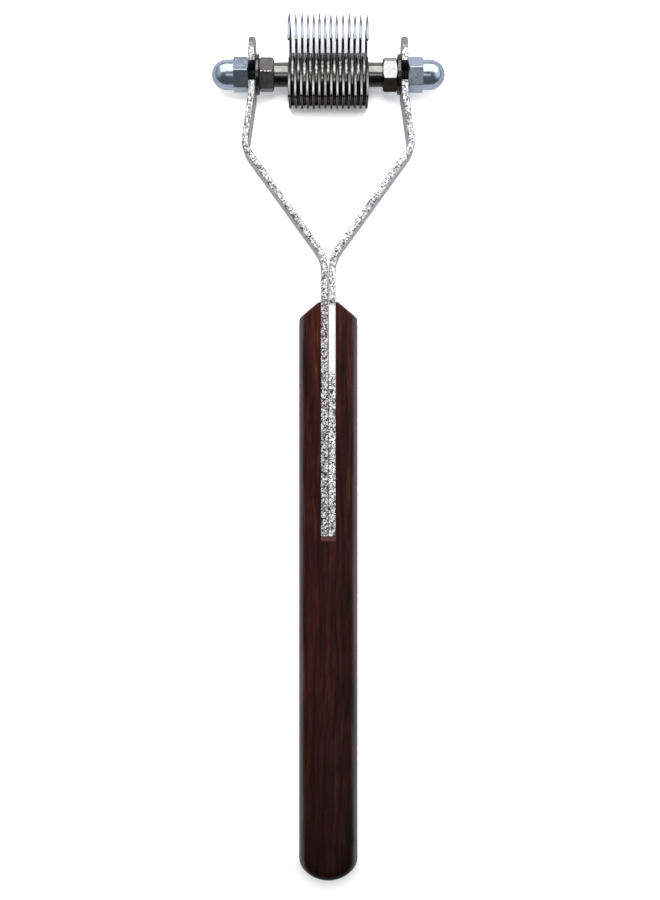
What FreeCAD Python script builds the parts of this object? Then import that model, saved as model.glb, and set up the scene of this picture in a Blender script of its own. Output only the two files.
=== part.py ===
import FreeCAD, Part
import math
import os

import Sketcher

# Blade rake: a pack of sickle blades on a threaded axle, held by two bent steel arms in a wooden handle.
# The tool lies on the handle's flat underside. +X runs along the axle to the right, +Y forward from the
# handle to the blades, +Z up, the way the hooks curl. The origin is the centre of the tool's footprint,
# on the plane of the underside. All sizes are millimetres.

V = FreeCAD.Vector
doc = FreeCAD.newDocument("blade_rake")

# ---------------------------------------------------------------------------------------------------------
# Driving dimensions: alias, value, note. "Axle to ..." is a distance rearward from the axle centre.
# ---------------------------------------------------------------------------------------------------------
CELLS = [
    # where the axle is
    ("axle_y", 82.62, "axle centre, forward of the origin"),
    ("axle_z", 10.0, "axle centre above the handle's underside"),
    # handle
    ("handle_width", 12.9, "across the handle"),
    ("handle_depth", 15.0, "underside to top"),
    ("handle_peak", 50.9, "axle to the handle's front end"),
    ("handle_shoulder", 54.4, "axle to the shoulders of the roof-shaped front end"),
    ("handle_peak_width", 4.4, "flat across the front end"),
    ("handle_end", 178.4, "axle to the rear end"),
    ("handle_end_depth", 5.2, "height of the arch that closes the rear end"),
    ("handle_end_radius", 4.2, "corner arcs of that arch"),
    ("handle_round", 2.4, "rounding of the long edges"),
    ("handle_peak_round", 0.5, "rounded edges of the roof faces"),
    ("slot_width", 3.24, "slot for the two strips"),
    ("slot_floor", 4.95, "slot floor above the underside"),
    ("slot_end", 103.4, "axle to the slot's rear end"),
    ("label_top", 66.8, "axle to the front of the blank label recess"),
    ("label_length", 23.4, "label recess, along the handle"),
    ("label_height", 8.0, "label recess, across the side"),
    ("label_depth", 0.15, "label recess, into the side"),
    # slot filler
    ("filler_wall_gap", 0.01, "filler to the slot's sides and rear end"),
    ("filler_seat_gap", 0.02, "filler to the slot floor and the strips' ends"),
    ("filler_recess", 0.1, "filler below the handle's top"),
    # cross pins
    ("pin_radius", 1.5, "handle cross pins, nominal"),
    ("pin_clearance", 0.01, "taken off the pin radius"),
    ("pin_inset", 0.02, "pin ends inside the handle's sides"),
    ("pin_hole_radius", 1.5, "hole for a pin"),
    ("pin_z", 8.6, "pin centre above the underside"),
    ("front_pin", 59.0, "axle to the front pin"),
    ("rear_pin", 97.0, "axle to the rear pin"),
    # arms
    ("strip_thickness", 1.55, "arm strip"),
    ("strip_width", 10.0, "arm strip inside the handle"),
    ("strip_bottom", 5.0, "lower edge of the strips above the underside"),
    ("strip_gap", 0.05, "middle plane to each strip inside the handle"),
    ("strip_seat", 16.0925, "middle plane to the inner face of an arm at the axle"),
    ("strip_top", 8.33, "rounded front end of an arm, forward of the axle"),
    ("strip_lean", 4.85, "axle to the slight outward bend"),
    ("strip_bend", 16.6, "axle to the front bend"),
    ("strip_bend_x", 18.5, "middle plane to the strip centre at the front bend"),
    ("strip_join", 41.05, "axle to the rear bend"),
    ("strip_end", 102.3, "axle to the strips' ends in the slot"),
    ("lean_radius", 6.0, "centre-line radius of the slight bend"),
    ("bend_radius", 4.0, "centre-line radius of the front bend"),
    ("join_radius", 8.0, "centre-line radius of the rear bend"),
    ("strip_round", 0.45, "rounding of a strip's long edges"),
    ("strip_proud", 0.28, "free part of a strip above the part flush with the handle"),
    ("dress_start", 51.1, "axle to the start of the flush part"),
    ("dress_ramp", 0.9, "length of the ramp before it"),
    ("notch_width", 4.4, "open notch for the axle"),
    ("notch_floor", 7.95, "lowest point of the notch above the underside"),
    ("lost_corner_height", 1.6, "missing corner, below the top of the right strip"),
    # axle and its hardware
    ("axle_length", 45.6, "threaded rod"),
    ("thread_radius", 2.0, "M4 major radius"),
    ("thread_root", 1.62, "radius at the bottom of the thread"),
    ("thread_pitch", 0.7, "M4 coarse"),
    ("nut_flats", 7.0, "across flats, M4"),
    ("nut_height", 3.2, "lock nut"),
    ("nut_round", 0.28, "rounding of the long edges of a nut"),
    ("nut_bore", 2.04, "radius inside a nut, clear of the rod"),
    ("cap_height", 8.25, "cap nut over all"),
    ("cap_hex", 3.3, "hexagon of a cap nut"),
    ("cap_dome", 3.37, "dome radius"),
    ("cap_bore_depth", 5.5, "blind thread of a cap nut"),
    ("cap_start", 17.6625, "middle plane to the seat of a cap nut"),
    ("washer_radius", 4.5, "washer"),
    ("washer_bore", 2.08, "radius of the washer's hole"),
    ("washer_thickness", 0.78, "washer"),
    ("washer_start", 15.2925, "middle plane to the inner face of a washer"),
    ("bush_radius", 2.72, "distance tube"),
    ("bush_bore", 2.06, "radius inside the distance tube"),
    ("bush_length", 3.25, "distance tube"),
    # blade pack
    ("blade_thickness", 0.55, "blade"),
    ("blade_hole", 2.06, "radius of the hole in a blade"),
    ("blade_pitch", 1.315, "blade to blade"),
    ("spacer_radius", 5.78, "spacer disc"),
    ("spacer_bore", 2.06, "radius of the hole in a spacer"),
    ("spacer_offset", 1.03, "centre of a spacer behind its hole"),
    ("edge_break", 0.12, "chamfer of washers, distance tubes and spacers"),
]
BLADES = 14
OVER = 1.0  # how far cutting outlines reach beyond the material
COS_45 = math.sqrt(0.5)

sheet = doc.addObject("Spreadsheet::Sheet", "Sheet")
for row, (alias, value, note) in enumerate(CELLS, start=1):
    sheet.set("A%d" % row, alias)
    sheet.set("B%d" % row, repr(value))
    sheet.set("C%d" % row, note)
    sheet.setAlias("B%d" % row, alias)
doc.recompute()


class Size:
    """A length that knows both its number and the expression that gives it from the sheet."""

    def __init__(self, text, value):
        self.text, self.value = text, float(value)

    def _with(self, other, sign, value):
        return Size("(%s %s %s)" % (self.text, sign, other.text), value)

    def __add__(self, other):
        other = size(other)
        return self._with(other, "+", self.value + other.value)

    def __sub__(self, other):
        other = size(other)
        return self._with(other, "-", self.value - other.value)

    def __mul__(self, other):
        other = size(other)
        return self._with(other, "*", self.value * other.value)

    def __truediv__(self, other):
        other = size(other)
        return self._with(other, "/", self.value / other.value)

    def __neg__(self):
        return Size("(0 - %s)" % self.text, -self.value)

    @property
    def driven(self):
        return "Sheet." in self.text


def size(x):
    return x if isinstance(x, Size) else Size(repr(float(x)), x)


def cell(alias):
    return Size("Sheet.%s" % alias, sheet.get(alias))


axle_y, axle_z = cell("axle_y"), cell("axle_z")
bodies = []


def new_body(label):
    """A new body, also listed for export."""
    body = doc.addObject("PartDesign::Body", label)
    body.Label = label
    bodies.append(body)
    return body


def place(body, x=0.0, y=axle_y, z=axle_z, rotation=None):
    """Puts a body at x, y, z, turned about its own origin."""
    base = {"x": size(x), "y": size(y), "z": size(z)}
    body.Placement = FreeCAD.Placement(
        V(*(length.value for length in base.values())), rotation or FreeCAD.Rotation()
    )
    for key, length in base.items():
        if length.driven:
            body.setExpression("Placement.Base.%s" % key, length.text)


# ---------------------------------------------------------------------------------------------------------
# Sketch helpers
# ---------------------------------------------------------------------------------------------------------
def sketch_on(body, role, name, lift=0.0):
    """A sketch on one of the body's own origin planes, lifted along the plane's normal."""
    sketch = body.newObject("Sketcher::SketchObject", name)
    plane = [f for f in body.Origin.OriginFeatures if f.Role == role][0]
    sketch.AttachmentSupport = [(plane, "")]
    sketch.MapMode = "FlatFace"
    lift = size(lift)
    sketch.AttachmentOffset = FreeCAD.Placement(V(0, 0, lift.value), FreeCAD.Rotation())
    if lift.driven:
        sketch.setExpression("AttachmentOffset.Base.z", lift.text)
    return sketch


def constrain(sketch, *what, length=None):
    if length is not None:
        what += (length.value,)
    index = sketch.addConstraint(Sketcher.Constraint(*what))
    if length is not None and length.driven:
        sketch.setExpression("Constraints[%d]" % index, length.text)


def pin_point(sketch, geo, pos, x, y):
    """Holds a point at x, y from the sketch's origin, or on an axis where that is zero."""
    for kind, length, axis in (("DistanceX", x, -2), ("DistanceY", y, -1)):
        if abs(length.value) < 1e-9:
            constrain(sketch, "PointOnObject", geo, pos, axis)
        else:
            constrain(sketch, kind, -1, 1, geo, pos, length=length)


def at(point):
    return V(point[0], point[1], 0)


def chain(sketch, points):
    """Straight lines from point to point."""
    for start, end in zip(points, points[1:]):
        sketch.addGeometry(Part.LineSegment(at(start), at(end)), False)


def polygon(sketch, points):
    chain(sketch, points + points[:1])


def arc(sketch, start, middle, end):
    sketch.addGeometry(Part.Arc(at(start), at(middle), at(end)), False)


def outline(sketch, corners):
    """A closed polygon whose corners are pinned to the origin by horizontal and vertical dimensions."""
    corners = [(size(x), size(y)) for x, y in corners]
    count = len(corners)
    first = sketch.GeometryCount
    polygon(sketch, [(x.value, y.value) for x, y in corners])
    for i in range(count):
        constrain(sketch, "Coincident", first + i, 2, first + (i + 1) % count, 1)
    for i, (x, y) in enumerate(corners):
        pin_point(sketch, first + i, 1, x, y)


def circle(sketch, x, y, radius):
    x, y, radius = size(x), size(y), size(radius)
    shape = Part.Circle(V(x.value, y.value, 0), V(0, 0, 1), radius.value)
    geo = sketch.addGeometry(shape, False)
    if abs(x.value) < 1e-9 and abs(y.value) < 1e-9:
        constrain(sketch, "Coincident", geo, 3, -1, 1)
    else:
        pin_point(sketch, geo, 3, x, y)
    constrain(sketch, "Radius", geo, length=radius)


def hexagon(sketch, flats):
    """A hexagon about the origin of an empty sketch, with a corner on the second axis."""
    reach = flats / math.sqrt(3)
    angles = [math.radians(60 * k) for k in range(6)]
    polygon(sketch, [(reach.value * math.sin(a), reach.value * math.cos(a)) for a in angles])
    guide = sketch.addGeometry(Part.Circle(V(0, 0, 0), V(0, 0, 1), reach.value), True)
    for k in range(6):
        constrain(sketch, "Coincident", k, 2, (k + 1) % 6, 1)
        constrain(sketch, "PointOnObject", k, 1, guide)
    constrain(sketch, "Coincident", guide, 3, -1, 1)
    for k in range(1, 6):
        constrain(sketch, "Equal", 0, k)
    constrain(sketch, "PointOnObject", 0, 1, -2)
    constrain(sketch, "Radius", guide, length=reach)


# ---------------------------------------------------------------------------------------------------------
# Feature helpers. Each one recomputes and raises an error if it added or cut nothing.
# ---------------------------------------------------------------------------------------------------------
def volume(body):
    return 0.0 if body.Shape.isNull() else body.Shape.Volume


def add_feature(body, kind, name, grows, settings, lengths):
    """settings are plain properties; lengths are properties bound to the sheet."""
    before = volume(body)
    feature = body.newObject("PartDesign::" + kind, name)
    for prop, setting in settings.items():
        setattr(feature, prop, setting)
    for prop, length in lengths.items():
        length = size(length)
        setattr(feature, prop, length.value)
        if length.driven:
            feature.setExpression(prop, length.text)
    if "Profile" in settings:
        settings["Profile"].Visibility = False
    doc.recompute()
    if {"Invalid", "Error"} & set(feature.State):
        raise RuntimeError("%s in %s failed: %s" % (feature.Name, body.Label, feature.State))
    if (volume(body) - before) * (1 if grows else -1) <= 1e-6:
        raise RuntimeError("%s in %s changed nothing" % (feature.Name, body.Label))


def pad(body, sketch, length, name, both_sides=False):
    settings = {"Profile": sketch}
    if both_sides:
        settings["SideType"] = "Symmetric"
    add_feature(body, "Pad", name, True, settings, {"Length": length})


def pocket(body, sketch, name, length, both_sides=False, backwards=False):
    """Cuts against the sketch's normal, or along it when backwards."""
    settings = {"Profile": sketch, "Reversed": backwards}
    if both_sides:
        settings["SideType"] = "Symmetric"
    add_feature(body, "Pocket", name, False, settings, {"Length": length})


def spin(body, sketch, name, cut=False):
    """A full turn about the sketch's first axis."""
    settings = {"Profile": sketch, "ReferenceAxis": (sketch, ["H_Axis"]), "Angle": 360.0}
    add_feature(body, "Groove" if cut else "Revolution", name, not cut, settings, {})


def fillet(body, names, radius, name):
    add_feature(body, "Fillet", name, False, {"Base": (body.Tip, names)}, {"Radius": radius})


def chamfer(body, names, length, name):
    add_feature(body, "Chamfer", name, False, {"Base": (body.Tip, names)}, {"Size": length})


def edges_where(body, test):
    """Names of the edges whose two ends and middle all pass the test, in the body's own frame."""
    names = []
    for i, edge in enumerate(body.Tip.Shape.Edges, start=1):
        low, high = edge.ParameterRange
        if all(test(edge.valueAt(t)) for t in (low, (low + high) / 2, high)):
            names.append("Edge%d" % i)
    return names


def edge_of(body, name):
    return body.Tip.Shape.getElement(name)


def near(a, b, tol=1e-4):
    return abs(a - b) < tol


def pin_holes(body, sketch_name, name, length):
    """The two cross holes through the handle and the strips."""
    sketch = sketch_on(body, "YZ_Plane", sketch_name)
    for where in ("front_pin", "rear_pin"):
        circle(sketch, -cell(where), cell("pin_z"), cell("pin_hole_radius"))
    pocket(body, sketch, name, length, both_sides=True)


# ---------------------------------------------------------------------------------------------------------
# Handle: a wooden bar with a roof-shaped front end and an arched rear end, rounded along its edges. Its
# frame, like the arms' and the filler's, has its origin under the axle centre.
# ---------------------------------------------------------------------------------------------------------
half_width = cell("handle_width") / 2
half_peak = cell("handle_peak_width") / 2
peak, shoulder = -cell("handle_peak"), -cell("handle_shoulder")


def add_handle_bar(body):
    sketch = sketch_on(body, "XY_Plane", "handle_outline")
    spring = cell("handle_end_depth") - cell("handle_end")
    corners = [(-half_width, peak), (-half_width, spring), (half_width, spring), (half_width, peak)]
    front_left, rear_left, rear_right, front_right = [(x.value, y.value) for x, y in corners]
    chain(sketch, [front_left, rear_left])
    chain(sketch, [rear_right, front_right, front_left])

    # the rear end is a three-centred arch: two corner arcs joined by a flatter one
    radius, height = cell("handle_end_radius").value, cell("handle_end_depth").value
    spring_y = spring.value
    centre_x = half_width.value - radius
    rise = height - radius
    # from the line of the corner centres forward to the centre of the flatter arc
    centre_gap = (centre_x * centre_x - rise**2) / (2 * rise)
    span = math.hypot(centre_x, centre_gap)
    away_x, away_y = centre_x / span, -centre_gap / span
    joint_x, joint_y = centre_x + radius * away_x, spring_y + radius * away_y
    half_angle = math.atan2(away_y, away_x) / 2
    middle_x = centre_x + radius * math.cos(half_angle)
    middle_y = spring_y + radius * math.sin(half_angle)
    arc(sketch, rear_left, (-middle_x, middle_y), (-joint_x, joint_y))
    arc(sketch, (-joint_x, joint_y), (0, spring_y - height), (joint_x, joint_y))
    arc(sketch, (joint_x, joint_y), (middle_x, middle_y), rear_right)

    for geo, pos, corner in ((0, 1, 0), (0, 2, 1), (1, 1, 2), (1, 2, 3)):
        pin_point(sketch, geo, pos, *corners[corner])
    constrain(sketch, "Coincident", 1, 2, 2, 1)
    constrain(sketch, "Coincident", 2, 2, 0, 1)
    pad(body, sketch, cell("handle_depth"), "bar")


def on_long_edge(point):
    """On the rim of the underside or top, apart from the straight front edges."""
    on_face = near(point.z, cell("handle_depth").value) or near(point.z, 0.0)
    at_side = near(abs(point.x), half_width.value)
    return on_face and (at_side or not near(point.y, peak.value, 1e-3))


def on_roof(point):
    """On one of the two roof faces, away from the flat peak."""
    slope = (peak.value - shoulder.value) / (half_width.value - half_peak.value)
    roof_y = shoulder.value + (half_width.value - abs(point.x)) * slope
    return near(point.y, roof_y, 1e-3) and abs(point.x) > half_peak.value - 1e-3


def cut_roof(body):
    sketch = sketch_on(body, "XY_Plane", "roof_cuts", lift=-OVER)
    for half, peak_x, over in ((half_width, half_peak, OVER), (-half_width, -half_peak, -OVER)):
        corners = [
            (half + over, peak + OVER),
            (peak_x, peak + OVER),
            (peak_x, peak),
            (half, shoulder),
            (half + over, shoulder),
        ]
        outline(sketch, corners)
    pocket(body, sketch, "roof", cell("handle_depth") + 2 * OVER, backwards=True)
    # the roof's upright edges, about as long as the handle is deep, stay sharp
    depth = cell("handle_depth").value
    roof = [n for n in edges_where(body, on_roof) if not near(edge_of(body, n).Length, depth, 0.2)]
    fillet(body, roof, cell("handle_peak_round"), "roof_edges")


def cut_slot(body):
    sketch = sketch_on(body, "XZ_Plane", "slot_section")
    half_slot = cell("slot_width") / 2
    floor, above = cell("slot_floor"), cell("handle_depth") + OVER
    corners = [(-half_slot, floor), (half_slot, floor), (half_slot, above), (-half_slot, above)]
    outline(sketch, corners)
    pocket(body, sketch, "slot", cell("slot_end"), backwards=True)


def cut_label_recess(body):
    """A shallow blank rectangle on the right side."""
    sketch = sketch_on(body, "YZ_Plane", "label_outline", lift=half_width - cell("label_depth"))
    middle, half_height = cell("handle_depth") / 2, cell("label_height") / 2
    low, high = middle - half_height, middle + half_height
    front = -cell("label_top")
    rear = front - cell("label_length")
    outline(sketch, [(rear, low), (front, low), (front, high), (rear, high)])
    pocket(body, sketch, "label_recess", OVER, backwards=True)


def make_handle():
    body = new_body("handle")
    add_handle_bar(body)
    fillet(body, edges_where(body, on_long_edge), cell("handle_round"), "long_edges")
    cut_roof(body)
    cut_slot(body)
    pin_holes(body, "pin_holes", "cross_holes", cell("handle_width") + 2 * OVER)
    cut_label_recess(body)
    place(body, z=0)


# ---------------------------------------------------------------------------------------------------------
# Arms: a flat strip on edge, bent in plan. The plan is a centre line of straights and arcs, offset by half
# the thickness to each side. A piece of it is (start, end, bend), where bend is None for a straight and
# (centre, radius, side) for an arc, side being +1 for a left turn and -1 for a right one.
# ---------------------------------------------------------------------------------------------------------
ACROSS_ARMS = 60.0  # symmetric cut through an arm anywhere along it
ACROSS_STRIPS = 8.0  # symmetric cut through the strips inside the handle
LOST_CORNER_CUT = 4.0  # height of the cutter
# outward from the strip's outer face, forward of its rear end
LOST_CORNER = [(0.2, -0.2), (0.2, 1.5), (0.0, 1.5), (-0.5, 0.5), (-0.62, -0.2)]

strip_low = cell("strip_bottom")
strip_flush = strip_low + cell("strip_width")
round_radius = (cell("strip_width") + cell("strip_proud")) / 2
round_y = (cell("strip_top") - round_radius).value
round_z = (strip_low + round_radius).value


def rounded_path(points, radii):
    path, start = [], at(points[0])
    for i, radius in enumerate(radii, start=1):
        before, corner, after = (at(points[k]) for k in (i - 1, i, i + 1))
        u, v = (corner - before).normalize(), (after - corner).normalize()
        turn = math.atan2(u.x * v.y - u.y * v.x, u.dot(v))
        reach = radius * math.tan(abs(turn) / 2)
        bend_start, bend_end = corner - u * reach, corner + v * reach
        side = 1.0 if turn > 0 else -1.0
        centre = bend_start + V(-u.y, u.x, 0) * (side * radius)
        path.append((start, bend_start, None))
        path.append((bend_start, bend_end, (centre, radius, side)))
        start = bend_end
    path.append((start, at(points[-1]), None))
    return path


def offset_path(path, distance):
    """The same path moved sideways: positive is to the left of its direction."""
    moved = []
    for start, end, bend in path:
        if bend is None:
            u = (end - start).normalize()
            shift = V(-u.y, u.x, 0) * distance
            moved.append((start + shift, end + shift, None))
        else:
            centre, radius, side = bend
            new_radius = radius - side * distance
            scale = new_radius / radius
            new_start = centre + (start - centre) * scale
            new_end = centre + (end - centre) * scale
            moved.append((new_start, new_end, (centre, new_radius, side)))
    return moved


def add_piece(sketch, start, end, bend):
    if bend is None:
        chain(sketch, [start, end])
    else:
        centre, radius, _ = bend
        middle = ((start - centre).normalize() + (end - centre).normalize()).normalize()
        arc(sketch, start, centre + middle * radius, end)


def add_strip(body, label, side):
    thickness = cell("strip_thickness")
    seat_x = side * (cell("strip_seat") + thickness / 2).value
    foot_x = side * (cell("strip_gap") + thickness / 2).value
    # centre line from the front end to the rear one
    points = [
        (seat_x, cell("strip_top").value),
        (seat_x, -cell("strip_lean").value),
        (side * cell("strip_bend_x").value, -cell("strip_bend").value),
        (foot_x, -cell("strip_join").value),
        (foot_x, -cell("strip_end").value),
    ]
    radii = [cell(alias).value for alias in ("lean_radius", "bend_radius", "join_radius")]
    path = rounded_path(points, radii)
    left = offset_path(path, thickness.value / 2)
    right = offset_path(path, -thickness.value / 2)
    sketch = sketch_on(body, "XY_Plane", label + "_plan", lift=strip_low)
    for piece in left:
        add_piece(sketch, *piece)
    chain(sketch, [left[-1][1], right[-1][1]])
    for start, end, bend in reversed(right):
        add_piece(sketch, end, start, bend)
    chain(sketch, [right[0][0], left[0][0]])
    # the width of the front end is tied to the sheet
    constrain(sketch, "Distance", sketch.GeometryCount - 1, length=thickness)
    pad(body, sketch, cell("strip_width") + cell("strip_proud"), label + "_strip")


def round_front_end(body, label):
    """Cuts away what lies outside a half round."""
    sketch = sketch_on(body, "YZ_Plane", label + "_end")
    radius, front = round_radius.value, cell("strip_top").value
    low, high, far = round_z - radius, round_z + radius, front + 2 * OVER
    slant = radius * COS_45
    arc(sketch, (round_y, high), (round_y + slant, round_z + slant), (front, round_z))
    arc(sketch, (front, round_z), (round_y + slant, round_z - slant), (round_y, low))
    cut_away = [
        (round_y, low),
        (round_y, low - OVER),
        (far, low - OVER),
        (far, high + OVER),
        (round_y, high + OVER),
        (round_y, high),
    ]
    chain(sketch, cut_away)
    constrain(sketch, "Radius", 0, length=round_radius)
    pocket(body, sketch, label + "_rounded", ACROSS_ARMS, both_sides=True)


def on_strip_rim(point):
    """On the lower or upper edge of a strip, or on its half round."""
    radius = round_radius.value
    if near(point.z, round_z - radius, 1e-3) or near(point.z, round_z + radius, 1e-3):
        return True
    reach = math.hypot(point.y - round_y, point.z - round_z)
    return point.y > round_y - 1e-3 and near(reach, radius, 1e-3)


def roll_strip_edges(body, label):
    rim = []
    for name in edges_where(body, on_strip_rim):
        ends = [vertex.Point for vertex in edge_of(body, name).Vertexes]
        # edges straight across the strip are left out
        if abs(ends[0].y - ends[-1].y) > 1e-3:
            rim.append(name)
    fillet(body, rim, cell("strip_round"), label + "_rolled_edges")


def dress_strip(body, label):
    """Brings the part inside the handle, and a short ramp before it, down flush with the wood."""
    sketch = sketch_on(body, "YZ_Plane", label + "_dressing")
    proud = strip_flush + cell("strip_proud")
    start = -cell("dress_start")
    ramp_start, rear = start + cell("dress_ramp"), -cell("strip_end") - OVER
    corners = [
        (ramp_start, proud),
        (start, strip_flush),
        (rear, strip_flush),
        (rear, proud + OVER),
        (ramp_start, proud + OVER),
    ]
    outline(sketch, corners)
    pocket(body, sketch, label + "_dressed", ACROSS_STRIPS, both_sides=True)


def cut_notch(body, label):
    """The notch for the axle, open above and round at the bottom."""
    sketch = sketch_on(body, "YZ_Plane", label + "_notch_outline")
    notch_radius = cell("notch_width") / 2
    radius, floor = notch_radius.value, cell("notch_floor").value
    centre_z = floor + radius
    above = round_z + round_radius.value + OVER
    arc(sketch, (-radius, centre_z), (0, floor), (radius, centre_z))
    chain(sketch, [(radius, centre_z), (radius, above), (-radius, above), (-radius, centre_z)])
    constrain(sketch, "Radius", 0, length=notch_radius)
    pocket(body, sketch, label + "_notch", ACROSS_ARMS, both_sides=True)


def cut_lost_corner(body, label):
    """The right strip lacks the upper outer corner of its rear end."""
    lift = strip_flush - cell("lost_corner_height")
    sketch = sketch_on(body, "XY_Plane", label + "_corner", lift=lift)
    face = cell("strip_gap") + cell("strip_thickness")
    rear = -cell("strip_end")
    outline(sketch, [(face + outward, rear + forward) for outward, forward in LOST_CORNER])
    pocket(body, sketch, label + "_lost_corner", LOST_CORNER_CUT, backwards=True)


def make_arm(label, side):
    """side is +1 for the right arm and -1 for the left one."""
    body = new_body(label)
    add_strip(body, label, side)
    round_front_end(body, label)
    roll_strip_edges(body, label)
    dress_strip(body, label)
    cut_notch(body, label)
    pin_holes(body, label + "_holes", label + "_rivet_holes", ACROSS_STRIPS)
    if side > 0:
        cut_lost_corner(body, label)
    place(body, z=0)


# ---------------------------------------------------------------------------------------------------------
# Filler at the rear end of the slot, a little below the surface, and the cross pins
# ---------------------------------------------------------------------------------------------------------
def make_filler():
    body = new_body("slot_filler")
    wall_gap, seat_gap = cell("filler_wall_gap"), cell("filler_seat_gap")
    floor = cell("slot_floor") + seat_gap
    sketch = sketch_on(body, "XY_Plane", "filler_plan", lift=floor)
    half = cell("slot_width") / 2 - wall_gap
    rear, front = -cell("slot_end") + wall_gap, -cell("strip_end") - seat_gap
    outline(sketch, [(-half, rear), (half, rear), (half, front), (-half, front)])
    pad(body, sketch, cell("handle_depth") - floor - cell("filler_recess"), "plug")
    place(body, z=0)


def make_pin(label, where):
    body = new_body(label)
    sketch = sketch_on(body, "YZ_Plane", label + "_section")
    circle(sketch, 0, 0, cell("pin_radius") - cell("pin_clearance"))
    length = cell("handle_width") - cell("pin_inset") * 2
    pad(body, sketch, length, label + "_rod", both_sides=True)
    place(body, y=axle_y - cell(where), z=cell("pin_z"))


# ---------------------------------------------------------------------------------------------------------
# Axle: a rod whose thread is drawn as ring-shaped ridges at the thread's pitch, bevelled at each end
# ---------------------------------------------------------------------------------------------------------
THREAD_MARGIN = 0.6  # least length without ridges at each end
BEVEL_DEPTH = 0.45  # radius lost at each end
CREST_LEAD = 0.1  # full radius beyond the first and last ridge
# one groove: share of the pitch where the crest ends, the root starts, the root ends, the crest starts
CREST_END, ROOT_START, ROOT_END, CREST_START = 0.10, 0.44, 0.56, 0.90


def make_axle():
    body = new_body("axle")
    sketch = sketch_on(body, "XZ_Plane", "thread_profile")
    half_length = cell("axle_length").value / 2
    crest, root = cell("thread_radius").value, cell("thread_root").value
    pitch = cell("thread_pitch").value
    turns = int((half_length - THREAD_MARGIN) / pitch)
    start = -turns * pitch
    profile = [
        (-half_length, 0.0),
        (-half_length, crest - BEVEL_DEPTH),
        (start - CREST_LEAD, crest),
    ]
    for k in range(2 * turns):
        x = start + k * pitch
        profile += [
            (x + CREST_END * pitch, crest),
            (x + ROOT_START * pitch, root),
            (x + ROOT_END * pitch, root),
            (x + CREST_START * pitch, crest),
        ]
    profile += [
        (-start + CREST_LEAD, crest),
        (half_length, crest - BEVEL_DEPTH),
        (half_length, 0.0),
    ]
    polygon(sketch, profile)
    spin(body, sketch, "threaded_rod")
    place(body)


# ---------------------------------------------------------------------------------------------------------
# Nuts: a hexagon along X whose corners are cut by a 30 degree cone at one or both ends
# ---------------------------------------------------------------------------------------------------------
CONE_START = 0.97  # cone radius at the end face, as a share of half the flats
CONE_OVER = 0.4  # cone outline beyond the hexagon's corners
CONE_BEFORE = 0.5  # cone outline beyond the end face
SINK_BEFORE, SINK_DEPTH = 0.1, 0.3  # countersink outline outside and inside the end face
SINK_INNER = 0.5  # inner radius of the countersink outline, within the bore
SINK_WIDE, SINK_NARROW = 0.36, 0.04  # outer end over the bore radius, inner end under it
DOME_START = 1.0  # the dome's solid starts inside the hexagon
MOUTH_BEFORE, MOUTH_DEPTH, MOUTH_WIDEN = 0.2, 0.35, 0.5  # flared mouth of the blind bore
DRILL_POINT = 0.6  # cone at the bottom of the blind bore


def hex_prism(body, label, height, both_ends):
    sketch = sketch_on(body, "YZ_Plane", label + "_hexagon")
    hexagon(sketch, cell("nut_flats"))
    pad(body, sketch, height, label + "_hex")
    corner = cell("nut_flats").value / math.sqrt(3)
    posts = edges_where(body, lambda p: near(math.hypot(p.y, p.z), corner, 1e-3))
    fillet(body, posts, cell("nut_round"), label + "_long_edges")

    inner = cell("nut_flats").value / 2 * CONE_START
    outer = corner + CONE_OVER
    rise = (outer - inner) * math.tan(math.radians(30))
    sketch = sketch_on(body, "XZ_Plane", label + "_corner_cone")
    ends = [(0.0, 1.0), (height.value, -1.0)]
    for x, inward in ends if both_ends else ends[:1]:
        outside = x - inward * CONE_BEFORE
        polygon(sketch, [(outside, inner), (x, inner), (x + inward * rise, outer), (outside, outer)])
    spin(body, sketch, label + "_corners_cut", cut=True)


def make_lock_nut(label, x, turn):
    body = new_body(label)
    height = cell("nut_height")
    hex_prism(body, label, height, both_ends=True)
    sketch = sketch_on(body, "YZ_Plane", label + "_bore_circle")
    circle(sketch, 0, 0, cell("nut_bore"))
    pocket(body, sketch, label + "_bore", height * 2 + OVER, both_sides=True)

    sketch = sketch_on(body, "XZ_Plane", label + "_countersinks")
    bore = cell("nut_bore").value
    for face, inward in ((0.0, 1.0), (height.value, -1.0)):
        outside, inside = face - inward * SINK_BEFORE, face + inward * SINK_DEPTH
        corners = [
            (outside, SINK_INNER),
            (outside, bore + SINK_WIDE),
            (inside, bore - SINK_NARROW),
            (inside, SINK_INNER),
        ]
        polygon(sketch, corners)
    spin(body, sketch, label + "_sunk", cut=True)
    place(body, x, rotation=FreeCAD.Rotation(V(1, 0, 0), turn))


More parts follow.
